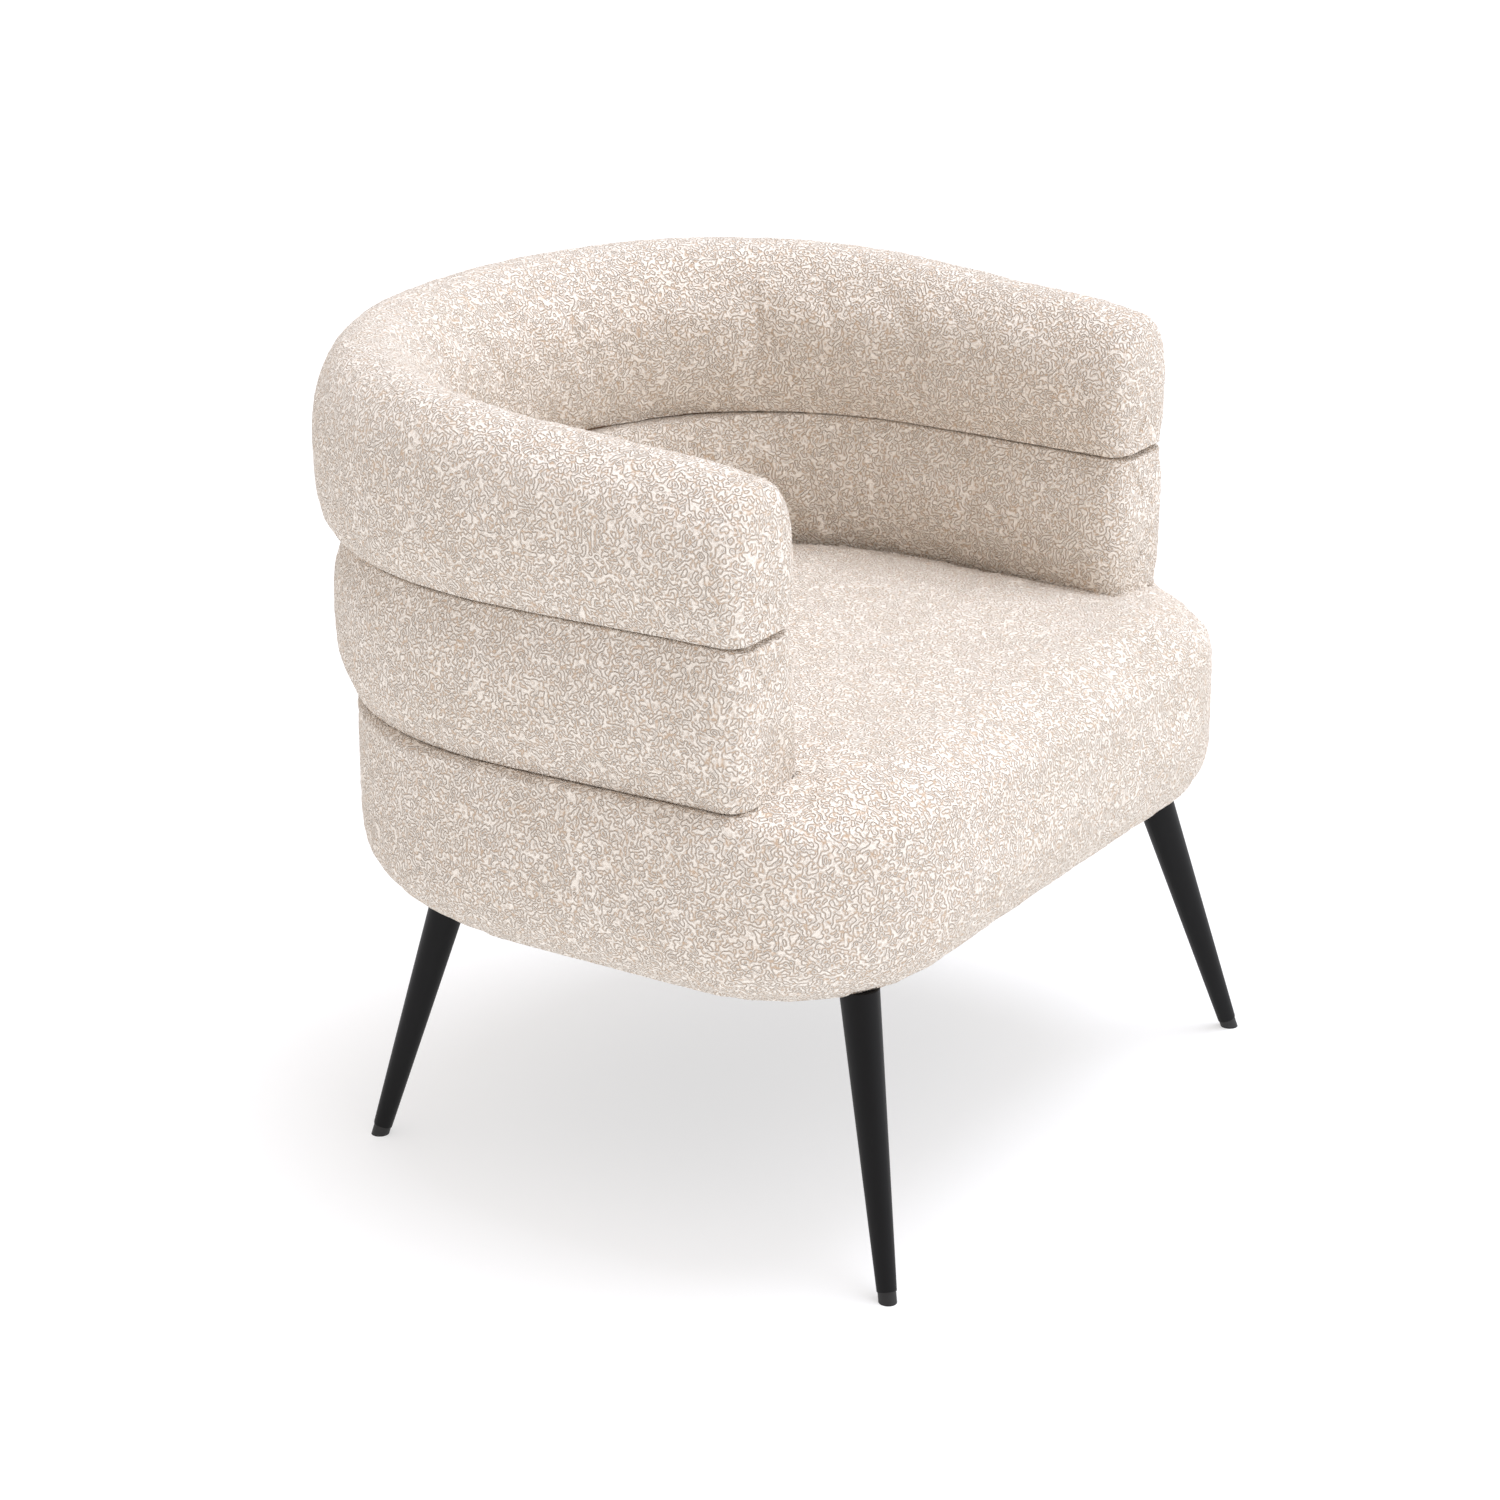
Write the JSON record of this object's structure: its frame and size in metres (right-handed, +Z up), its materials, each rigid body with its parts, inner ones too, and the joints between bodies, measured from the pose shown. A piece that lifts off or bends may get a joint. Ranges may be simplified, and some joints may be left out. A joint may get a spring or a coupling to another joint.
{
  "type": "upholstered armchair",
  "caption": "Barrel-shaped boucle armchair: a padded seat block under two stacked rolls that wrap round the back and arms, on splayed tapered legs.",
  "frame": {"origin": "middle of the footprint, on the floor", "axes": "+Z up, the open front faces -Y, +X is to the right of someone facing the chair's front"},
  "size_m": [0.778, 0.7173, 0.72],
  "materials": {
    "boucle": "cream looped boucle, matt",
    "dust_cloth": "black non-woven dust cloth",
    "foam": "open-cell polyurethane foam",
    "felt": "needled felt",
    "plywood": "bare plywood",
    "timber": "sawn softwood",
    "fibreboard": "bare hardboard",
    "bare_steel": "zinc-plated",
    "black_leg": "satin black powder coat",
    "glide": "moulded black plastic"
  },
  "bodies": {
    "root": {"base_cover": "boucle", "lower_roll_cover": "boucle", "upper_roll_cover": "boucle", "dust_cover": "dust_cloth", "seat_foam": "foam", "edge_foam": "foam", "lower_roll_foam": "foam", "upper_roll_foam": "foam", "spring_pad": "felt", "seat_springs": "bare_steel", "spring_clips": "bare_steel", "lower_seat_ring": "plywood", "spring_ring": "plywood", "leg_block_front_left": "timber", "leg_block_front_right": "timber", "leg_block_back_left": "timber", "leg_block_back_right": "timber", "ring_spacer_front_left": "timber", "ring_spacer_front_right": "timber", "ring_spacer_left": "timber", "ring_spacer_right": "timber", "ring_spacer_back_left": "timber", "ring_spacer_back_right": "timber", "lower_rib": "plywood", "middle_rib": "plywood", "top_rib": "plywood", "arm_post_left": "timber", "arm_post_right": "timber", "back_post_left": "timber", "back_post_centre": "timber", "back_post_right": "timber", "inner_panel": "fibreboard", "leg_front_left": "black_leg", "leg_front_right": "black_leg", "leg_back_left": "black_leg", "leg_back_right": "black_leg", "glide_front_left": "glide", "glide_front_right": "glide", "glide_back_left": "glide", "glide_back_right": "glide", "leg_studs": "bare_steel", "threaded_inserts": "bare_steel", "block_screws": "bare_steel", "post_screws": "bare_steel", "cover_staples": "bare_steel"}
  },
  "joints": []
}
